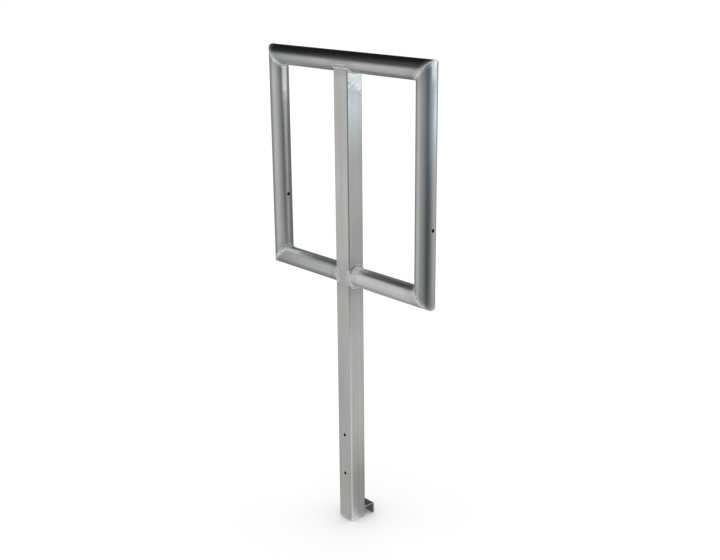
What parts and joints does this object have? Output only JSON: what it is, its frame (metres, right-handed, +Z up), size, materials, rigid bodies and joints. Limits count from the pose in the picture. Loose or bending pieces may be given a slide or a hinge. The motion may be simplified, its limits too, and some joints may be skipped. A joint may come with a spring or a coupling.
{
  "type": "sign stand",
  "caption": "Square window frame of welded round tube on a bolt-on square post, with a hook bracket at its foot, to hold a sign board or banner.",
  "frame": {"origin": "middle of the post's foot face", "axes": "+X along the frame's width to its right, seen from the front; -Y to the front; +Y to the back, where the hook is; +Z up the post"},
  "size_m": [0.5844, 0.0832, 1.2572],
  "materials": {
    "tube_metal": "satin drawn tube with soft lengthwise streaks",
    "post_metal": "satin extruded tube with faint lengthwise lines",
    "bracket_metal": "dull bent plate with bright sawn edges",
    "weld_metal": "bright rippled weld bead"
  },
  "bodies": {
    "root": {"post": "post_metal", "foot_plate": "post_metal", "hook_bracket": "bracket_metal", "top_tube": "tube_metal", "side_tube_left": "tube_metal", "side_tube_right": "tube_metal", "bottom_tube_left": "tube_metal", "bottom_tube_right": "tube_metal", "weld_top_left": "weld_metal", "weld_top_right": "weld_metal", "weld_bottom_left": "weld_metal", "weld_bottom_right": "weld_metal", "weld_post_top": "weld_metal", "weld_post_left": "weld_metal", "weld_post_right": "weld_metal", "weld_hook_upper": "weld_metal", "weld_hook_lower": "weld_metal", "weld_foot": "weld_metal"}
  },
  "joints": []
}
